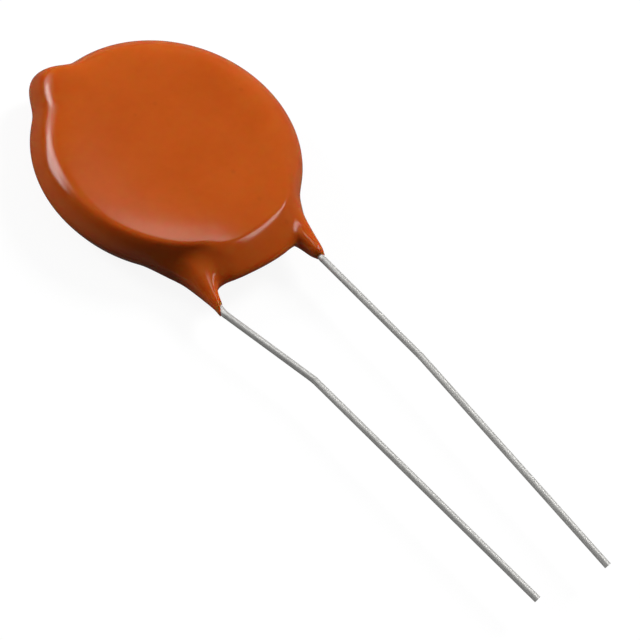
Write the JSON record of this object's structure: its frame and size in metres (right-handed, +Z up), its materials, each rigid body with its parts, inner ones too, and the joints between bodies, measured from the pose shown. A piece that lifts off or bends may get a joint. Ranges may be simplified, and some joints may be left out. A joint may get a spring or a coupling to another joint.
{
  "type": "ceramic disc capacitor",
  "caption": "Round ceramic disc capacitor in a dipped orange-brown coating, with a drip nub on the rim and parallel bare wire leads for through-hole mounting.",
  "frame": {"origin": "centre of the coating's lower face, on the axis of the disc, where the part rests", "axes": "+Z up along the axis of the disc; the leads leave towards -Y; +X to the right seen from the leads"},
  "size_m": [0.024, 0.0625, 0.0045],
  "materials": {
    "coating": "gloss",
    "ceramic": "matte",
    "silver": "satin",
    "tinned_wire": "satin",
    "solder": "satin"
  },
  "bodies": {
    "root": {"coating": "coating", "ceramic_disc": "ceramic", "upper_electrode": "silver", "lower_electrode": "silver", "left_lead": "tinned_wire", "right_lead": "tinned_wire", "upper_solder": "solder", "lower_solder": "solder"}
  },
  "joints": []
}
